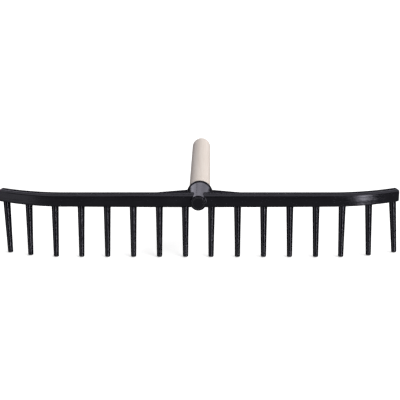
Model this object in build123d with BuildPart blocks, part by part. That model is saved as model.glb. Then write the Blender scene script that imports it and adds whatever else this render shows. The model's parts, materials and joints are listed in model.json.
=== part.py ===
"""Hay rake: a curved moulded head with sixteen peg tines on a tapered wooden handle.

Frame: +Z up, X along the head, +Y from the head to the grip, origin on the floor under
the middle of the whole rake.  The rake lies as it rests on the ground, on its tine
tips and on the end of its grip.  Millimetres.
"""
from build123d import *
from math import asin, atan2, cos, degrees, hypot, radians, sin
import os

os.makedirs("parts", exist_ok=True)

# ---- driving dimensions -------------------------------------------------------------

# head rail, in plan: a straight middle and two arcs that bow back to the handle's side
RAIL_STRAIGHT = 210.0        # half-length of the straight middle
RAIL_BEND_RADIUS = 260.0
RAIL_OVERHANG = 11.5         # rail beyond the last tine
RAIL_DEPTH = 13.0
RAIL_HEIGHT_MIDDLE = 21.8
RAIL_HEIGHT_END = 19.6
RAIL_FRONT_FILLET = 4.0      # large round along the front upper edge
RAIL_BACK_FILLET = 1.6
RAIL_FRONT_EDGE_FILLET = 2.2  # lower edges
RAIL_BACK_EDGE_FILLET = 1.2
RAIL_END_FILLET = 2.2

# tines
TINE_COUNT = 16
TINE_PITCH = 41.0            # along the rail's centre line
SHOULDER_PITCH = 42.5        # between the last tine but one and its inner neighbour
END_PITCH = 38.5             # between the last two tines
LAST_TINE_SHIFT = 2.7        # the last tine on the right stands this much further out
TINE_DROP = 78.0             # floor to the rail's underside at the middle
TINE_LEAN = 14.0             # tips lean away from the grip, degrees
TINE_FORWARD = 0.7           # root in front of the rail's centre line
TINE_ROOT_RADIUS = 5.7
TINE_TIP_RADIUS = 4.2
TINE_TIP_ROUND = 1.5
TINE_SHOULDER = 5.8          # blank left above the root before it is trimmed to the rail
TENON_RADIUS = 3.6
TENON_DEPTH = 9.0
# tines that have taken a sideways set in use, degrees towards +X at the tip
TINE_SET = {1: 3.0, 2: 1.0, 3: 0.5, 9: -0.5, 14: -1.0, 15: 0.5, 16: 2.5}

# handle socket, measured along the handle's axis from the cap's seat
AXIS_BELOW_TOP = 11.6        # handle axis below the rail's upper face, at the seat
SEAT_FORWARD = 6.5           # seat in front of the rail's front face
HANDLE_SIDE = 1.2            # the handle sits this much to the right of the head's middle
SOCKET_LENGTH = 54.0
SOCKET_FRONT_RADIUS = 12.4
SOCKET_MOUTH_RADIUS = 19.4
SOCKET_MOUTH_SIDE = 0.5      # middle of the mouth to the right of the handle's axis
LIP_LENGTH = 3.0
LIP_RADIUS = 20.6
LIP_ROUND = 0.8

# gusset wings behind the rail: slabs that fall from the rail to the socket's mouth
WING_REACH = 84.0            # from the middle to the wing's outer end
WING_BACK = 40.0             # behind the rail's centre line, beside the mouth
WING_START = 2.5             # behind the rail's centre line, inside the rail
WING_THICKNESS = 6.0
WING_FRONT_DROP = 1.9        # upper face below the rail's, where it leaves the rail
WING_BACK_DROP = 8.3         # upper face below the rail's, beside the mouth
WING_ROUND = 1.8

# cap that closes the socket's front end
CAP_RADIUS = 10.9
CAP_THICKNESS = 2.4
CAP_ROUND = 0.8
CAP_STEM_RADIUS = 7.0
CAP_STEM_LENGTH = 4.0
CAP_DISH_RADIUS = 9.2
CAP_DISH_DEPTH = 0.4

# handle, measured along its axis from the cap's seat
HANDLE_END = 1800.0
HANDLE_HEAD_RADIUS = 17.0    # where it leaves the socket
HANDLE_GRIP_RADIUS = 14.0
GRIP_LENGTH = 500.0
GRIP_ROUND = 6.0
NOSE_START = 6.0

# fixing screw, from below through the socket wall into the handle
SCREW_PLACE = 42.0
SCREW_HEAD_RADIUS = 4.0
SCREW_HEAD_HEIGHT = 2.4
SCREW_HEAD_ROUND = 1.4
SCREW_SHANK_RADIUS = 2.0
SCREW_POINT_RADIUS = 0.3
SCREW_LENGTH = 16.0
SCREW_POINT = 4.0
SCREW_CROSS_LENGTH = 5.0
SCREW_CROSS_WIDTH = 1.2
SCREW_CROSS_DEPTH = 1.1

# ---- worked-out places --------------------------------------------------------------

rail_top = TINE_DROP + RAIL_HEIGHT_MIDDLE
# distance of each tine from the middle, along the rail, for one half of the rail
half_count = TINE_COUNT // 2
half_places = [(index + 0.5) * TINE_PITCH for index in range(half_count - 2)]
half_places += [half_places[-1] + SHOULDER_PITCH]
half_places += [half_places[-1] + END_PITCH]
rail_half_length = half_places[-1] + RAIL_OVERHANG
bend = (rail_half_length - RAIL_STRAIGHT) / RAIL_BEND_RADIUS
end_x = RAIL_STRAIGHT + RAIL_BEND_RADIUS * sin(bend)
end_bow = RAIL_BEND_RADIUS * (1 - cos(bend))

axis_height = rail_top - AXIS_BELOW_TOP
grip_core = HANDLE_GRIP_RADIUS - GRIP_ROUND
grip_centre = HANDLE_END - GRIP_ROUND
# the handle falls just enough for the round at the end of its grip to touch the floor
fall = asin((axis_height - GRIP_ROUND) / hypot(grip_centre, grip_core))
fall -= atan2(grip_core, grip_centre)

lean = radians(TINE_LEAN)
tip_core = TINE_TIP_RADIUS - TINE_TIP_ROUND


def tine_directions(number):
    """Unit vectors across and up a tine."""
    spread = radians(TINE_SET.get(number, 0.0))
    across = Vector(cos(spread), sin(lean) * sin(spread), cos(lean) * sin(spread))
    up = Vector(-sin(spread), sin(lean) * cos(spread), cos(lean) * cos(spread))
    return across, up


def tine_reach(up):
    """Length from the rail's underside to where the tip's round begins, with the tip on the floor."""
    return (TINE_DROP - tip_core * hypot(up.X, up.Y) - TINE_TIP_ROUND) / up.Z


# how far the rake reaches in front of the rail's centre line and behind it
front_reach = TINE_FORWARD + tine_reach(Vector(0, sin(lean), cos(lean))) * sin(lean)
front_reach += tip_core * cos(lean) + TINE_TIP_ROUND
back_reach = grip_centre * cos(fall) + grip_core * sin(fall) + GRIP_ROUND
back_reach -= RAIL_DEPTH / 2 + SEAT_FORWARD
rail_y = (front_reach - back_reach) / 2

seat = Vector(HANDLE_SIDE, rail_y - RAIL_DEPTH / 2 - SEAT_FORWARD, axis_height)
along_handle = Vector(0, cos(fall), -sin(fall))
under_handle = Vector(0, -sin(fall), -cos(fall))
handle_axis = Axis(seat, along_handle)
# drawing plane through the handle's axis: local x is across, local y is along the handle
handle_plane = Plane(origin=seat, x_dir=(1, 0, 0), z_dir=-under_handle)
# the cap and the socket's front end are in the middle of the head
front_middle = seat - Vector(HANDLE_SIDE, 0, 0)
front_plane = Plane(origin=front_middle, x_dir=(1, 0, 0), z_dir=along_handle)
mouth_middle = seat + along_handle * SOCKET_LENGTH + Vector(SOCKET_MOUTH_SIDE, 0, 0)
mouth_plane = Plane(origin=mouth_middle, x_dir=(1, 0, 0), z_dir=along_handle)

socket_slope = (SOCKET_MOUTH_RADIUS - SOCKET_FRONT_RADIUS) / SOCKET_LENGTH
nose_radius = HANDLE_HEAD_RADIUS - socket_slope * (SOCKET_LENGTH - NOSE_START)
grip_start = HANDLE_END - GRIP_LENGTH


def plan_plane(height):
    """Level drawing plane with its origin on the rail's centre line."""
    return Plane(origin=(0, rail_y, height), x_dir=(1, 0, 0), z_dir=(0, 0, 1))


def tine_foot(number):
    """Place of a tine's axis at the height of the rail's underside."""
    side = 1 if number > half_count else -1
    along = half_places[number - half_count - 1] if side > 0 else half_places[half_count - number]
    if number == TINE_COUNT:
        along += LAST_TINE_SHIFT
    turn = max(along - RAIL_STRAIGHT, 0) / RAIL_BEND_RADIUS
    straight = min(along, RAIL_STRAIGHT)
    row_radius = RAIL_BEND_RADIUS + TINE_FORWARD
    bow = RAIL_BEND_RADIUS - row_radius * cos(turn)
    return Vector(side * (straight + row_radius * sin(turn)), rail_y + bow, TINE_DROP)


# ---- fixing screw -------------------------------------------------------------------

screw_foot = seat + along_handle * SCREW_PLACE
screw_foot += under_handle * (SOCKET_FRONT_RADIUS + socket_slope * SCREW_PLACE)
screw_plane = Plane(origin=screw_foot, x_dir=(1, 0, 0), z_dir=under_handle)
screw_shank = SCREW_LENGTH - SCREW_POINT

with BuildPart() as screw:
    with BuildSketch(screw_plane):
        Circle(SCREW_HEAD_RADIUS)
    extrude(amount=SCREW_HEAD_HEIGHT)
    fillet(screw.faces().sort_by(Axis(screw_foot, under_handle))[-1].edges(), SCREW_HEAD_ROUND)
    with BuildSketch(screw_plane):
        Circle(SCREW_SHANK_RADIUS)
    extrude(amount=-screw_shank)
    with BuildSketch(screw_plane.offset(-screw_shank)):
        Circle(SCREW_SHANK_RADIUS)
    with BuildSketch(screw_plane.offset(-SCREW_LENGTH)):
        Circle(SCREW_POINT_RADIUS)
    loft()
    with BuildSketch(screw_plane.offset(SCREW_HEAD_HEIGHT - SCREW_CROSS_DEPTH)):
        Rectangle(SCREW_CROSS_LENGTH, SCREW_CROSS_WIDTH)
        Rectangle(SCREW_CROSS_WIDTH, SCREW_CROSS_LENGTH)
    extrude(amount=SCREW_CROSS_DEPTH, mode=Mode.SUBTRACT)
screw.part.label = "handle_screw"
export_step(screw.part, "parts/handle_screw.step")

# ---- handle: a tapered nose, a long taper and a straight grip -----------------------

with BuildPart() as handle:
    with BuildSketch(handle_plane):
        with BuildLine():
            Polyline(
                (0, HANDLE_END),
                (0, NOSE_START),
                (nose_radius, NOSE_START),
                (HANDLE_HEAD_RADIUS, SOCKET_LENGTH),
                (HANDLE_GRIP_RADIUS, grip_start),
                (HANDLE_GRIP_RADIUS, grip_centre),
            )
            RadiusArc((HANDLE_GRIP_RADIUS, grip_centre), (grip_core, HANDLE_END), -GRIP_ROUND)
            Line((grip_core, HANDLE_END), (0, HANDLE_END))
        make_face()
    revolve(axis=handle_axis)
    add(screw.part, mode=Mode.SUBTRACT)
handle.part.label = "handle"
export_step(handle.part, "parts/handle.step")

# ---- cap in the socket's front end --------------------------------------------------

with BuildPart() as cap:
    with BuildSketch(front_plane):
        Circle(CAP_RADIUS)
    extrude(amount=-CAP_THICKNESS)
    fillet(cap.faces().sort_by(Axis.Y)[0].edges(), CAP_ROUND)
    with BuildSketch(front_plane.offset(-CAP_THICKNESS)):
        Circle(CAP_DISH_RADIUS)
    extrude(amount=CAP_DISH_DEPTH, mode=Mode.SUBTRACT)
    with BuildSketch(front_plane):
        Circle(CAP_STEM_RADIUS)
    extrude(amount=CAP_STEM_LENGTH)
cap.part.label = "socket_cap"
export_step(cap.part, "parts/socket_cap.step")

# ---- gusset wings: one is drawn on the right and mirrored ----------------------------

rail_back = RAIL_DEPTH / 2
wing_fall = (WING_BACK_DROP - WING_FRONT_DROP) / (WING_BACK - rail_back)
start_drop = WING_FRONT_DROP - (rail_back - WING_START) * wing_fall

with BuildPart() as wings:
    # seen from the side: a sloping slab
    with BuildSketch(Plane(origin=(0, rail_y, rail_top), x_dir=(0, 1, 0), z_dir=(1, 0, 0))):
        with BuildLine():
            Polyline(
                (WING_START, -start_drop),
                (WING_BACK, -WING_BACK_DROP),
                (WING_BACK, -WING_BACK_DROP - WING_THICKNESS),
                (WING_START, -start_drop - WING_THICKNESS),
                close=True,
            )
        make_face()
    extrude(amount=WING_REACH)
    # seen from above: it narrows from the mouth to its outer end
    with BuildSketch(plan_plane(0)):
        with BuildLine():
            Polyline(
                (0, WING_START),
                (WING_REACH, WING_START),
                (WING_REACH, rail_back),
                (LIP_RADIUS, WING_BACK),
                (0, WING_BACK),
                close=True,
            )
        make_face()
    extrude(amount=2 * rail_top, mode=Mode.INTERSECT)
    slanting = wings.edges().filter_by(lambda edge: edge.length > WING_REACH / 2)
    fillet(slanting.sort_by(Axis.Y)[-2:], WING_ROUND)
    mirror(about=Plane.YZ)

# ---- head: rail, handle socket and gusset wings in one moulding ---------------------

rail_start = Vector(-end_x, rail_y + end_bow, TINE_DROP)
rail_heading = Vector(cos(bend), -sin(bend), 0)
rail_section = Plane(origin=rail_start, x_dir=(sin(bend), cos(bend), 0), z_dir=rail_heading)

with BuildPart() as head_blank:
    with BuildLine(plan_plane(TINE_DROP)):
        left_bend = JernArc((-end_x, end_bow), (cos(bend), -sin(bend)), RAIL_BEND_RADIUS, degrees(bend))
        middle = Line(left_bend @ 1, (RAIL_STRAIGHT, 0))
        JernArc(middle @ 1, (1, 0), RAIL_BEND_RADIUS, degrees(bend))
    with BuildSketch(rail_section) as section:
        Rectangle(RAIL_DEPTH, RAIL_HEIGHT_MIDDLE, align=(Align.CENTER, Align.MIN))
        upper = section.vertices().group_by(Axis.Y)[-1]
        fillet(upper.sort_by(Axis.X)[0], RAIL_FRONT_FILLET)
        upper = section.vertices().group_by(Axis.Y)[-1]
        fillet(upper.sort_by(Axis.X)[-1], RAIL_BACK_FILLET)
    sweep()
    # the underside rises gently towards both ends
    with BuildSketch(Plane.XZ.offset(-rail_y)):
        with BuildLine():
            far_x = end_x + RAIL_DEPTH
            far_z = rail_top - RAIL_HEIGHT_END
            ThreePointArc((-far_x, far_z), (0, TINE_DROP), (far_x, far_z))
            Polyline((far_x, far_z), (far_x, 0), (-far_x, 0), (-far_x, far_z))
        make_face()
    extrude(amount=end_bow + RAIL_DEPTH, both=True, mode=Mode.SUBTRACT)
    underside = head_blank.faces().sort_by(Axis.Z)[0]
    lower = underside.edges().filter_by(lambda edge: edge.length > RAIL_STRAIGHT).sort_by(Axis.Y)
    fillet(lower[0], RAIL_FRONT_EDGE_FILLET)
    underside = head_blank.faces().sort_by(Axis.Z)[0]
    lower = underside.edges().filter_by(lambda edge: edge.length > RAIL_STRAIGHT).sort_by(Axis.Y)
    fillet(lower[-1], RAIL_BACK_EDGE_FILLET)
    ends = head_blank.faces().sort_by(Axis.X)
    fillet(ends[0].edges() + ends[-1].edges(), RAIL_END_FILLET)
    add(wings.part)
    # tapered socket with a lip around its mouth
    with BuildSketch(front_plane):
        Circle(SOCKET_FRONT_RADIUS)
    with BuildSketch(mouth_plane):
        Circle(SOCKET_MOUTH_RADIUS)
    loft()
    with BuildPart(mouth_plane, mode=Mode.PRIVATE) as lip:
        with BuildSketch(mouth_plane):
            Circle(LIP_RADIUS)
        extrude(amount=-LIP_LENGTH)
        fillet(lip.edges(), LIP_ROUND)
    add(lip.part)
    # bore for the cap's stem, then the handle's own taper
    with BuildSketch(front_plane):
        Circle(CAP_STEM_RADIUS)
    extrude(amount=NOSE_START, mode=Mode.SUBTRACT)
    add(handle.part, mode=Mode.SUBTRACT)
    add(screw.part, mode=Mode.SUBTRACT)

with BuildPart() as head:
    add(head_blank.part)
    # blind holes for the tines' tenons
    for number in range(1, TINE_COUNT + 1):
        across, up = tine_directions(number)
        with BuildSketch(Plane(origin=tine_foot(number), x_dir=across, z_dir=up)):
            Circle(TENON_RADIUS)
        extrude(amount=TENON_DEPTH, mode=Mode.SUBTRACT)
head.part.label = "head"
export_step(head.part, "parts/head.step")

# ---- tines: tapered pegs, each with a tenon pressed up into the head ----------------

for number in range(1, TINE_COUNT + 1):
    across, up = tine_directions(number)
    foot = tine_foot(number)
    reach = tine_reach(up)
    tip_end = -reach - TINE_TIP_ROUND
    blank_radius = TINE_ROOT_RADIUS + (TINE_ROOT_RADIUS - TINE_TIP_RADIUS) * TINE_SHOULDER / reach
    with BuildPart() as tine:
        with BuildSketch(Plane(origin=foot, x_dir=across, z_dir=across.cross(up))):
            with BuildLine():
                Polyline(
                    (0, tip_end),
                    (0, TINE_SHOULDER),
                    (blank_radius, TINE_SHOULDER),
                    (TINE_TIP_RADIUS, -reach),
                )
                RadiusArc((TINE_TIP_RADIUS, -reach), (tip_core, tip_end), TINE_TIP_ROUND)
                Line((tip_core, tip_end), (0, tip_end))
            make_face()
        revolve(axis=Axis(foot, up))
        # trimmed to the rail's underside, so that the shoulder bears on it all round
        add(head_blank.part, mode=Mode.SUBTRACT)
        with BuildSketch(Plane(origin=foot, x_dir=across, z_dir=up)):
            Circle(TENON_RADIUS)
        extrude(amount=TENON_DEPTH)
    tine.part.label = f"tine_{number:02d}"
    export_step(tine.part, f"parts/tine_{number:02d}.step")
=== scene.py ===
"""Looks of the hay rake: materials, a finely turned handle, floor, studio light and camera.

Metres, +Z up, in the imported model's frame: X along the head, +Y from the head to the grip.
"""
import bpy
import json
from math import atan2, cos, pi, radians, sin
from mathutils import Matrix, Quaternion, Vector, noise


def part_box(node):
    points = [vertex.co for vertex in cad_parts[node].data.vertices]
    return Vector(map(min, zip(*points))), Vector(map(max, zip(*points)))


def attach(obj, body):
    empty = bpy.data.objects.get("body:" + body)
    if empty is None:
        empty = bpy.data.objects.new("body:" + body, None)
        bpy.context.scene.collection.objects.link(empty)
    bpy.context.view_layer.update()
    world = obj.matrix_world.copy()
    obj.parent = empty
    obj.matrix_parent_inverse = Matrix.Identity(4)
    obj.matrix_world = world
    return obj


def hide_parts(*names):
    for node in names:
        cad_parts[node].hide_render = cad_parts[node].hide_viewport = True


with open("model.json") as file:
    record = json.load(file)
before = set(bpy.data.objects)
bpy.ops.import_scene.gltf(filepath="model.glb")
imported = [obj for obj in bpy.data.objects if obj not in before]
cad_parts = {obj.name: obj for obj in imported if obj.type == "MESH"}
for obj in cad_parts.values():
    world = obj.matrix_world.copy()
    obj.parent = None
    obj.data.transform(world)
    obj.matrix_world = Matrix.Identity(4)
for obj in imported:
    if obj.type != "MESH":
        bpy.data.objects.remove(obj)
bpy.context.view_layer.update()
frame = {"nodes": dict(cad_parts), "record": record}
nodes = frame["nodes"]
record = frame["record"]

# ---- camera, measured from the middle of the socket's cap -----------------------------

CAMERA_SIDE = 0.026
CAMERA_BACK = 1.587
CAMERA_UP = 0.5984
CAMERA_YAW = radians(-0.84)
CAMERA_PITCH = radians(20.5)
CAMERA_ROLL = radians(-0.29)
LENS = 98.0                      # millimetres, as the sensor's width
SENSOR_WIDTH = 36.0
CLIP_START = 0.1
HANDLE_IN_VIEW = 0.327           # the view takes in this much of the handle

# ---- studio ---------------------------------------------------------------------------

FLOOR_HALF_SIZE = 30.0
FLOOR_COLOUR = (0.84, 0.84, 0.84, 1.0)
FLOOR_SHADE = (0.8148, 0.8148, 0.8148, 1.0)
FLOOR_ROUGHNESS = 0.9
FLOOR_GLOW = 0.60                # backlit floor
BACKGROUND = 1.3                 # what the camera sees past the floor
AMBIENT = 0.31                   # even light on matt surfaces
KEY_LIGHT = 2.70                 # soft light from the right, above
KEY_AZIMUTH = radians(95.0)      # from +Y towards +X
KEY_ELEVATION = radians(50.0)
KEY_SPREAD = radians(60.0)

# softboxes that the shiny pieces mirror, as seen from the rake: name, azimuth from +Y
# towards +X and elevation in degrees, each as (from, to), and radiance
DARK_STUDIO = 0.015              # radiance between the softboxes
STUDIO_TINT = (1.0, 0.975, 1.13, 1.0)
SOFTBOXES = (
    ("left_tent", (-181.0, -60.0), (28.0, 91.0), 0.80),
    ("right_tent", (60.0, 181.0), (28.0, 91.0), 0.80),
    ("back_band", (-60.0, 60.0), (26.0, 44.0), 1.50),
    ("left_behind", (-75.0, -14.0), (2.0, 26.0), 1.30),
    ("right_behind", (15.5, 60.0), (2.0, 26.0), 0.95),
    ("right_side", (60.0, 125.0), (8.0, 28.0), 1.20),
    ("left_side", (-125.0, -75.0), (-5.0, 28.0), 0.60),
    ("right_strip", (148.5, 154.0), (-20.5, 22.0), 10.0),
    ("left_strip", (-150.0, -120.0), (-24.0, 10.0), 0.50),
    ("table_left", (-181.0, -100.0), (-91.0, -10.0), 0.18),
    ("table_right", (100.0, 181.0), (-91.0, -10.0), 0.18),
)
SOFTBOX_EDGE = 2.0               # degrees over which a softbox fades

# ---- materials ------------------------------------------------------------------------

WHITE = (1.0, 1.0, 1.0, 1.0)
NOISE_SPAN = (0.3, 0.7)          # where most of a noise texture's values lie

NYLON_BLACK = (0.0078, 0.0074, 0.0105, 1.0)
# lighter nylon for the scuffs, and for the painted sheen on the socket
NYLON_SCUFFS_AND_SHEEN = (0.0155, 0.0148, 0.0195, 1.0)
# colour of the painted highlight ring on the cap
NYLON_RING_HIGHLIGHT = (0.085, 0.083, 0.092, 1.0)
NYLON_IOR = 1.5
NYLON_ROUGHNESS = (0.09, 0.17)
CLOUD_SCALE = (35.0, 35.0, 35.0)
MOULD_GRAIN_SCALE = (2600.0, 2600.0, 2600.0)
MOULD_GRAIN_DEPTH = 0.0000035

# flow lines in the nylon: scale per axis and depth
HEAD_FLOW = ((9.0, 12.0, 420.0), 0.00022)
TINE_FLOW = ((420.0, 420.0, 4.0), 0.00008)
CAP_FLOW = ((260.0, 260.0, 260.0), 0.00010)
HAIRLINE_SCALE = 3.1             # hairlines between them, over their scale
HAIRLINE_DEPTH = 0.2             # and over their depth

RAIL_SPAN = (-0.00973, 0.00927)  # the rail's upright faces, from the height of the cap's middle
CROWN = 0.00030                  # how far they stand proud halfway up
SOCKET_START = 0.0027            # the socket's smoother part, painted lighter all over as a painted sheen, starts this far above them
SOCKET_BLEND = 0.0010
SOCKET_RELIEF = 0.2              # relief left on it

HIGHLIGHT_RING_RADIUS = 0.82               # painted highlight: a lighter ring on the cap where light catches its rounded rim; radius over the cap's radius
HIGHLIGHT_RING_CORE = 0.0002               # half the width where it is strongest
HIGHLIGHT_RING_EDGE = 0.0007               # half the whole width

WOOD_PALE = (0.760, 0.690, 0.630, 1.0)
WOOD_TAN = (0.640, 0.545, 0.470, 1.0)
WOOD_PORE = (0.400, 0.320, 0.260, 1.0)
RING_SPACING = 0.0024            # growth rings
PITH = Vector((0.045, 0.0, -0.070))  # their middle, from the handle's axis
FIBRE_DEPTH = 0.00006
PORE_DEPTH = 0.00008

ZINC = (0.60, 0.60, 0.59, 1.0)
ZINC_TARNISHED = (0.36, 0.36, 0.37, 1.0)
TURNING_DEPTH = 0.00003

# ---- handle mesh ----------------------------------------------------------------------

HANDLE_SIDES = 96
HANDLE_STEP = 0.006              # longest step along the handle
GRAIN_RELIEF = 0.00006           # how deep the sanded grain lies
SHARP_EDGE = radians(35.0)


def add_node(tree, kind, inputs=None, **options):
    """Add a node; inputs are values or sockets, by name or number."""
    made = tree.nodes.new(kind)
    for name, value in options.items():
        setattr(made, name, value)
    for name, value in (inputs or {}).items():
        if isinstance(value, bpy.types.NodeSocket):
            tree.links.new(value, made.inputs[name])
        else:
            made.inputs[name].default_value = value
    return made


def compute(tree, operation, first, second=0.0):
    """One Math node's result."""
    made = add_node(tree, "ShaderNodeMath", {0: first, 1: second}, operation=operation)
    return made.outputs[0]


def ramp(tree, value, start, stop, low, high, shape="LINEAR"):
    """value from start..stop brought to low..high."""
    inputs = {"Value": value, "From Min": start, "From Max": stop, "To Min": low, "To Max": high}
    made = add_node(tree, "ShaderNodeMapRange", inputs, interpolation_type=shape)
    return made.outputs["Result"]


def speckle(tree, place, scale, detail=4.0, roughness=0.55, distortion=0.0):
    """Noise with its own scale along each axis."""
    spread = add_node(tree, "ShaderNodeMapping", {"Vector": place, "Scale": scale})
    inputs = {
        "Vector": spread.outputs[0],
        "Scale": 1.0,
        "Detail": detail,
        "Roughness": roughness,
        "Distortion": distortion,
    }
    return add_node(tree, "ShaderNodeTexNoise", inputs).outputs["Fac"]


def mix(tree, share, first, second):
    """Colour between first and second, which are colours or sockets."""
    made = add_node(tree, "ShaderNodeMix", {0: share}, data_type="RGBA")
    for number, value in ((6, first), (7, second)):
        if isinstance(value, bpy.types.NodeSocket):
            tree.links.new(value, made.inputs[number])
        else:
            made.inputs[number].default_value = value
    return made.outputs[2]


def bump(tree, height, distance, normal=None, strength=1.0):
    """Surface relief, on top of another if one is given."""
    inputs = {"Height": height, "Distance": distance, "Strength": strength}
    if normal is not None:
        inputs["Normal"] = normal
    return add_node(tree, "ShaderNodeBump", inputs).outputs["Normal"]


def start_material(name):
    """A new material with its node tree, its shader and the object's coordinates."""
    material = bpy.data.materials.new(name)
    material.use_nodes = True
    tree = material.node_tree
    shader = tree.nodes["Principled BSDF"]
    place = add_node(tree, "ShaderNodeTexCoord").outputs["Object"]
    return material, tree, shader, place


def reach_from(tree, place, middle):
    """Distance from the line through middle along Y."""
    inputs = {"Vector": place, "Location": (-middle.x, 0.0, -middle.z), "Scale": (1.0, 0.0, 1.0)}
    spoke = add_node(tree, "ShaderNodeMapping", inputs).outputs[0]
    return add_node(tree, "ShaderNodeVectorMath", {0: spoke}, operation="LENGTH").outputs["Value"]


def moulded_nylon(name, flow, rail=None, ring=None):
    """Black nylon with flow lines, scuffs and mould grain.

    flow is the lines' scale per axis and their depth.  rail is the lower and the upper height
    of the rail's upright faces: they stand slightly proud halfway up, the lines don't change
    any further above and below them, and the socket above them is smoother and painted lighter
    all over, a painted sheen for the light on it, over its scuffs.  ring is the middle and the
    radius of a painted highlight: a lighter ring where light catches the cap's rim.
    """
    material, tree, shader, place = start_material(name)
    scale, ripple = flow
    drawn = place
    depth = 1.0
    if rail:
        lower, upper = rail
        parts = add_node(tree, "ShaderNodeSeparateXYZ", {0: place}).outputs
        held = ramp(tree, parts["Z"], lower, upper, lower, upper)
        inputs = {"X": parts["X"], "Y": parts["Y"], "Z": held}
        drawn = add_node(tree, "ShaderNodeCombineXYZ", inputs).outputs[0]
        socket = upper + SOCKET_START
        depth = ramp(tree, parts["Z"], socket, socket + SOCKET_BLEND, 1.0, SOCKET_RELIEF)
    cloud = speckle(tree, place, CLOUD_SCALE, detail=3.0)
    lines = speckle(tree, drawn, scale, detail=5.0, roughness=0.6)
    hairlines = speckle(tree, drawn, tuple(HAIRLINE_SCALE * size for size in scale), detail=2.0)
    grain = speckle(tree, place, MOULD_GRAIN_SCALE, detail=2.0)

    scuffs_and_sheen = ramp(tree, compute(tree, "MULTIPLY", cloud, lines), 0.20, 0.38, 0.0, 1.0)
    if rail:
        # on the socket the colour goes most of the way to the lighter nylon all over: painted
        # sheen for the light on the socket, over its scuffs
        painted_socket_sheen = compute(tree, "SUBTRACT", 1.0, depth)
        scuffs_and_sheen = compute(tree, "ADD", compute(tree, "MULTIPLY", scuffs_and_sheen, depth), painted_socket_sheen)
    colour = mix(tree, scuffs_and_sheen, NYLON_BLACK, NYLON_SCUFFS_AND_SHEEN)
    if ring:
        # painted highlight: a lighter ring on the cap where light catches its rim, varied by the
        # cloud noise
        middle, radius = ring
        away = compute(tree, "SUBTRACT", reach_from(tree, place, middle), radius)
        painted_ring_highlight = compute(tree, "ABSOLUTE", away)
        painted_ring_highlight = ramp(tree, painted_ring_highlight, HIGHLIGHT_RING_CORE, HIGHLIGHT_RING_EDGE, 1.0, 0.0, "SMOOTHSTEP")
        painted_ring_highlight = compute(tree, "MULTIPLY", painted_ring_highlight, ramp(tree, cloud, 0.35, 0.65, 0.4, 1.0))
        colour = mix(tree, painted_ring_highlight, colour, NYLON_RING_HIGHLIGHT)
    polish = ramp(tree, lines, *NOISE_SPAN, *NYLON_ROUGHNESS)
    roughness = compute(tree, "ADD", polish, ramp(tree, grain, *NOISE_SPAN, -0.02, 0.03))

    relief = bump(tree, lines, ripple, strength=depth)
    relief = bump(tree, hairlines, HAIRLINE_DEPTH * ripple, relief, depth)
    relief = bump(tree, grain, MOULD_GRAIN_DEPTH, relief)
    if rail:
        level = ramp(tree, parts["Z"], lower, upper, -1.0, 1.0)
        relief = bump(tree, compute(tree, "MULTIPLY", level, level), -CROWN, relief)
    tree.links.new(colour, shader.inputs["Base Color"])
    tree.links.new(roughness, shader.inputs["Roughness"])
    tree.links.new(relief, shader.inputs["Normal"])
    shader.inputs["IOR"].default_value = NYLON_IOR
    return material


def pale_ash(name, middle, axis):
    """Sanded ash with growth rings, pores and a faint fuzz; middle and axis place the handle."""
    material, tree, shader, place = start_material(name)
    fall = atan2(-axis.z, axis.y)
    turned = Matrix.Rotation(fall, 3, "X") @ middle
    inputs = {"Vector": place, "Rotation": (fall, 0.0, 0.0), "Location": -turned}
    along = add_node(tree, "ShaderNodeMapping", inputs).outputs[0]
    drift = speckle(tree, along, (30.0, 1.6, 30.0), detail=2.0)
    rings = compute(tree, "DIVIDE", reach_from(tree, along, PITH), RING_SPACING)
    rings = compute(tree, "ADD", rings, ramp(tree, drift, 0.2, 0.8, -1.6, 1.6))
    year = compute(tree, "FRACT", rings)
    early = ramp(tree, year, 0.0, 0.35, 1.0, 0.0, "SMOOTHSTEP")
    late = ramp(tree, year, 0.55, 1.0, 0.0, 1.0, "SMOOTHSTEP")
    fibres = speckle(tree, along, (900.0, 14.0, 900.0), detail=4.0)
    pores = speckle(tree, along, (2300.0, 90.0, 2300.0), detail=1.0)
    blotch = speckle(tree, along, (28.0, 7.0, 28.0), detail=3.0)
    tan = compute(tree, "MULTIPLY", late, 0.30)
    tan = compute(tree, "ADD", tan, ramp(tree, fibres, 0.35, 0.75, 0.0, 0.30))
    tan = compute(tree, "ADD", tan, ramp(tree, blotch, 0.35, 0.7, 0.0, 0.35))
    pore = ramp(tree, pores, 0.58, 0.72, 0.0, 1.0)
    pore = compute(tree, "MULTIPLY", pore, ramp(tree, early, 0.0, 1.0, 0.12, 0.6))
    colour = mix(tree, tan, WOOD_PALE, WOOD_TAN)
    colour = mix(tree, compute(tree, "MULTIPLY", pore, 0.6), colour, WOOD_PORE)
    roughness = ramp(tree, fibres, *NOISE_SPAN, 0.52, 0.64)
    roughness = compute(tree, "ADD", roughness, compute(tree, "MULTIPLY", pore, 0.12))
    relief = bump(tree, fibres, FIBRE_DEPTH)
    relief = bump(tree, compute(tree, "SUBTRACT", 1.0, pore), PORE_DEPTH, relief)
    tree.links.new(colour, shader.inputs["Base Color"])
    tree.links.new(roughness, shader.inputs["Roughness"])
    tree.links.new(relief, shader.inputs["Normal"])
    return material


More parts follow.
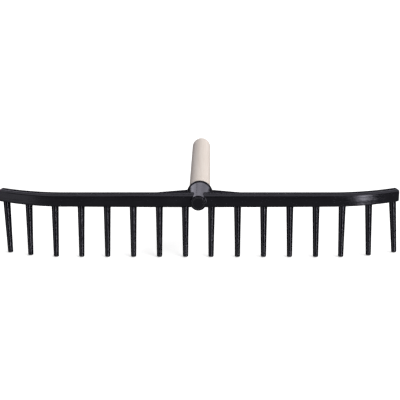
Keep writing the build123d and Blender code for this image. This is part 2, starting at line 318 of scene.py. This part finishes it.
def zinc_plate(name):
    """Dull zinc plating with fine turning marks and a little tarnish."""
    material, tree, shader, place = start_material(name)
    marks = speckle(tree, place, (3500.0, 3500.0, 600.0), detail=3.0)
    tarnish = speckle(tree, place, (420.0, 420.0, 420.0), detail=4.0)
    colour = mix(tree, ramp(tree, tarnish, 0.4, 0.75, 0.0, 0.5), ZINC, ZINC_TARNISHED)
    tree.links.new(colour, shader.inputs["Base Color"])
    tree.links.new(ramp(tree, marks, *NOISE_SPAN, 0.28, 0.46), shader.inputs["Roughness"])
    tree.links.new(bump(tree, marks, TURNING_DEPTH), shader.inputs["Normal"])
    shader.inputs["Metallic"].default_value = 1.0
    return material


def turned_profile(node, middle, axis):
    """Outline of a turned CAD node as (distance along the axis, radius), from its own vertices."""
    outline = {}
    for vertex in node.data.vertices:
        reach = vertex.co - middle
        along = round(reach.dot(axis), 5)
        radius = (reach - axis * reach.dot(axis)).length
        outline[along] = max(outline.get(along, 0.0), radius)
    return sorted(outline.items())


def stations(outline):
    """The outline with steps no longer than HANDLE_STEP."""
    points = [outline[0]]
    for (start, first), (stop, second) in zip(outline, outline[1:]):
        count = max(1, round((stop - start) / HANDLE_STEP))
        for index in range(1, count + 1):
            share = index / count
            points.append((start + (stop - start) * share, first + (second - first) * share))
    return points


def turned_handle(name, node, middle, axis):
    """The handle turned again with many more sides, and its grain standing in fine relief."""
    across = Vector((1.0, 0.0, 0.0))
    upward = across.cross(axis)
    vertices = []
    faces = []
    points = stations(turned_profile(node, middle, axis))
    for along, radius in points:
        for side in range(HANDLE_SIDES):
            angle = 2.0 * pi * side / HANDLE_SIDES
            spoke = across * cos(angle) + upward * sin(angle)
            fibre = noise.noise(Vector((spoke.x * 9.0, spoke.z * 9.0, along * 6.0)))
            depth = GRAIN_RELIEF * (0.5 + 0.5 * fibre)
            vertices.append(middle + axis * along + spoke * (radius - depth))
    for ring in range(len(points) - 1):
        for side in range(HANDLE_SIDES):
            beside = (side + 1) % HANDLE_SIDES
            low = ring * HANDLE_SIDES
            high = low + HANDLE_SIDES
            faces.append((low + side, low + beside, high + beside, high + side))
    faces.append(tuple(reversed(range(HANDLE_SIDES))))
    faces.append(tuple(range((len(points) - 1) * HANDLE_SIDES, len(points) * HANDLE_SIDES)))
    mesh = bpy.data.meshes.new(name)
    mesh.from_pydata(vertices, [], faces)
    mesh.validate()
    mesh.shade_smooth()
    mesh.set_sharp_from_angle(angle=SHARP_EDGE)
    piece = bpy.data.objects.new(name, mesh)
    bpy.context.scene.collection.objects.link(piece)
    return piece


def drill(piece, cutter):
    """Cut a node's shape out of a piece."""
    hole = piece.modifiers.new("screw_hole", "BOOLEAN")
    hole.operation = "DIFFERENCE"
    hole.solver = "EXACT"
    hole.object = cutter


def dress(name, material):
    """Give a CAD node a finished material."""
    slots = nodes[name].data.materials
    slots.clear()
    slots.append(material)


def make_floor():
    """Plain pale floor; from below it isn't seen, so that it hides nothing."""
    size = FLOOR_HALF_SIZE
    mesh = bpy.data.meshes.new("floor")
    corners = [(-size, -size, 0.0), (size, -size, 0.0), (size, size, 0.0), (-size, size, 0.0)]
    mesh.from_pydata(corners, [], [(0, 1, 2, 3)])
    floor = bpy.data.objects.new("floor", mesh)
    bpy.context.scene.collection.objects.link(floor)
    material, tree, shader, place = start_material("pale_floor")
    mottle = speckle(tree, place, (3.0, 3.0, 3.0), detail=3.0)
    tree.links.new(mix(tree, mottle, FLOOR_COLOUR, FLOOR_SHADE), shader.inputs["Base Color"])
    shader.inputs["Roughness"].default_value = FLOOR_ROUGHNESS
    shader.inputs["Specular IOR Level"].default_value = 0.0
    shader.inputs["Emission Color"].default_value = WHITE
    shader.inputs["Emission Strength"].default_value = FLOOR_GLOW
    clear = add_node(tree, "ShaderNodeBsdfTransparent")
    facing = add_node(tree, "ShaderNodeNewGeometry").outputs["Backfacing"]
    inputs = {0: facing, 1: shader.outputs[0], 2: clear.outputs[0]}
    one_sided = add_node(tree, "ShaderNodeMixShader", inputs)
    tree.links.new(one_sided.outputs[0], tree.nodes["Material Output"].inputs["Surface"])
    mesh.materials.append(material)
    floor.visible_glossy = False
    floor.visible_diffuse = False
    floor.visible_shadow = False


def softbox(tree, azimuth, elevation, across, upright, radiance):
    """Radiance of one softbox at the direction given by azimuth and elevation, in degrees."""
    edge = SOFTBOX_EDGE / 2.0
    shares = (
        ramp(tree, azimuth, across[0] - edge, across[0] + edge, 0.0, 1.0, "SMOOTHSTEP"),
        ramp(tree, azimuth, across[1] - edge, across[1] + edge, 1.0, 0.0, "SMOOTHSTEP"),
        ramp(tree, elevation, upright[0] - edge, upright[0] + edge, 0.0, 1.0, "SMOOTHSTEP"),
        ramp(tree, elevation, upright[1] - edge, upright[1] + edge, 1.0, 0.0, "SMOOTHSTEP"),
    )
    total = radiance
    for share in shares:
        total = compute(tree, "MULTIPLY", share, total)
    return total


def make_light():
    """A dark studio with softboxes in it; the camera itself sees a plain white background."""
    world = bpy.data.worlds.new("studio")
    world.use_nodes = True
    bpy.context.scene.world = world
    tree = world.node_tree
    direction = add_node(tree, "ShaderNodeTexCoord").outputs["Generated"]
    parts = add_node(tree, "ShaderNodeSeparateXYZ", {0: direction}).outputs
    azimuth = compute(tree, "DEGREES", compute(tree, "ARCTAN2", parts["X"], parts["Y"]))
    elevation = compute(tree, "DEGREES", compute(tree, "ARCSINE", parts["Z"]))
    total = DARK_STUDIO
    for _name, across, upright, radiance in SOFTBOXES:
        box = softbox(tree, azimuth, elevation, across, upright, radiance)
        total = compute(tree, "ADD", box, total)
    path = add_node(tree, "ShaderNodeLightPath").outputs
    studio = tree.nodes["Background"]
    tree.links.new(total, studio.inputs["Strength"])
    studio.inputs["Color"].default_value = STUDIO_TINT
    even = add_node(tree, "ShaderNodeBackground", {"Color": WHITE, "Strength": AMBIENT})
    plain = add_node(tree, "ShaderNodeBackground", {"Color": WHITE, "Strength": BACKGROUND})
    inputs = {0: path["Is Glossy Ray"], 1: even.outputs[0], 2: studio.outputs[0]}
    lit = add_node(tree, "ShaderNodeMixShader", inputs)
    inputs = {0: path["Is Camera Ray"], 1: lit.outputs[0], 2: plain.outputs[0]}
    seen = add_node(tree, "ShaderNodeMixShader", inputs)
    tree.links.new(seen.outputs[0], tree.nodes["World Output"].inputs["Surface"])
    world.cycles.sampling_method = "NONE"


def make_key_light():
    """A wide, soft lamp from the right; shiny surfaces mirror the softboxes instead of it."""
    data = bpy.data.lights.new("key", "SUN")
    data.energy = KEY_LIGHT
    data.angle = KEY_SPREAD
    lamp = bpy.data.objects.new("key", data)
    bpy.context.scene.collection.objects.link(lamp)
    toward = Vector((
        sin(KEY_AZIMUTH) * cos(KEY_ELEVATION),
        cos(KEY_AZIMUTH) * cos(KEY_ELEVATION),
        sin(KEY_ELEVATION),
    ))
    lamp.rotation_mode = "QUATERNION"
    lamp.rotation_quaternion = toward.to_track_quat("Z", "Y")
    lamp.visible_glossy = False


def make_camera(target, handle_axis):
    """A long lens in front of the head, looking down on it; target is the cap's middle."""
    data = bpy.data.cameras.new("camera")
    camera = bpy.data.objects.new("camera", data)
    bpy.context.scene.collection.objects.link(camera)
    data.lens = LENS
    data.sensor_width = SENSOR_WIDTH
    camera.location = target + Vector((CAMERA_SIDE, -CAMERA_BACK, CAMERA_UP))
    heading = Vector((
        sin(CAMERA_YAW) * cos(CAMERA_PITCH),
        cos(CAMERA_YAW) * cos(CAMERA_PITCH),
        -sin(CAMERA_PITCH),
    ))
    camera.rotation_mode = "QUATERNION"
    rolled = Quaternion((0.0, 0.0, 1.0), CAMERA_ROLL)
    camera.rotation_quaternion = heading.to_track_quat("-Z", "Y") @ rolled
    data.clip_start = CLIP_START
    crop = target + handle_axis * HANDLE_IN_VIEW
    data.clip_end = (crop - camera.location).dot(heading)
    bpy.context.scene.camera = camera


# ---- the rake -------------------------------------------------------------------------

grip = next(mount for mount in record["mounts"] if mount["name"] == "grip")
grip_middle = Vector(grip["pos_m"])
grip_axis = Vector(grip["axis"]).normalized()
if grip_axis.y < 0.0:
    grip_axis = -grip_axis

wooden_handle = turned_handle("wooden_handle", nodes["handle"], grip_middle, grip_axis)
wooden_handle.data.materials.append(pale_ash("pale_ash", grip_middle, grip_axis))
drill(wooden_handle, nodes["handle_screw"])
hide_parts("handle")
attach(wooden_handle, "root")

cap_low, cap_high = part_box("socket_cap")
cap_middle = (cap_low + cap_high) / 2.0
cap_highlight_ring = (cap_middle, HIGHLIGHT_RING_RADIUS * (cap_high.x - cap_low.x) / 2.0)
rail_heights = tuple(cap_middle.z + height for height in RAIL_SPAN)

dress("head", moulded_nylon("black_nylon_head", HEAD_FLOW, rail=rail_heights))
dress("socket_cap", moulded_nylon("black_nylon_cap", CAP_FLOW, ring=cap_highlight_ring))
dress("handle_screw", zinc_plate("zinc_plate"))
nylon_up_tine = moulded_nylon("black_nylon_tine", TINE_FLOW)
for name in nodes:
    if name.startswith("tine_"):
        dress(name, nylon_up_tine)

make_floor()
make_light()
make_key_light()
make_camera(cap_middle, grip_axis)
bpy.context.scene.view_settings.view_transform = "Standard"
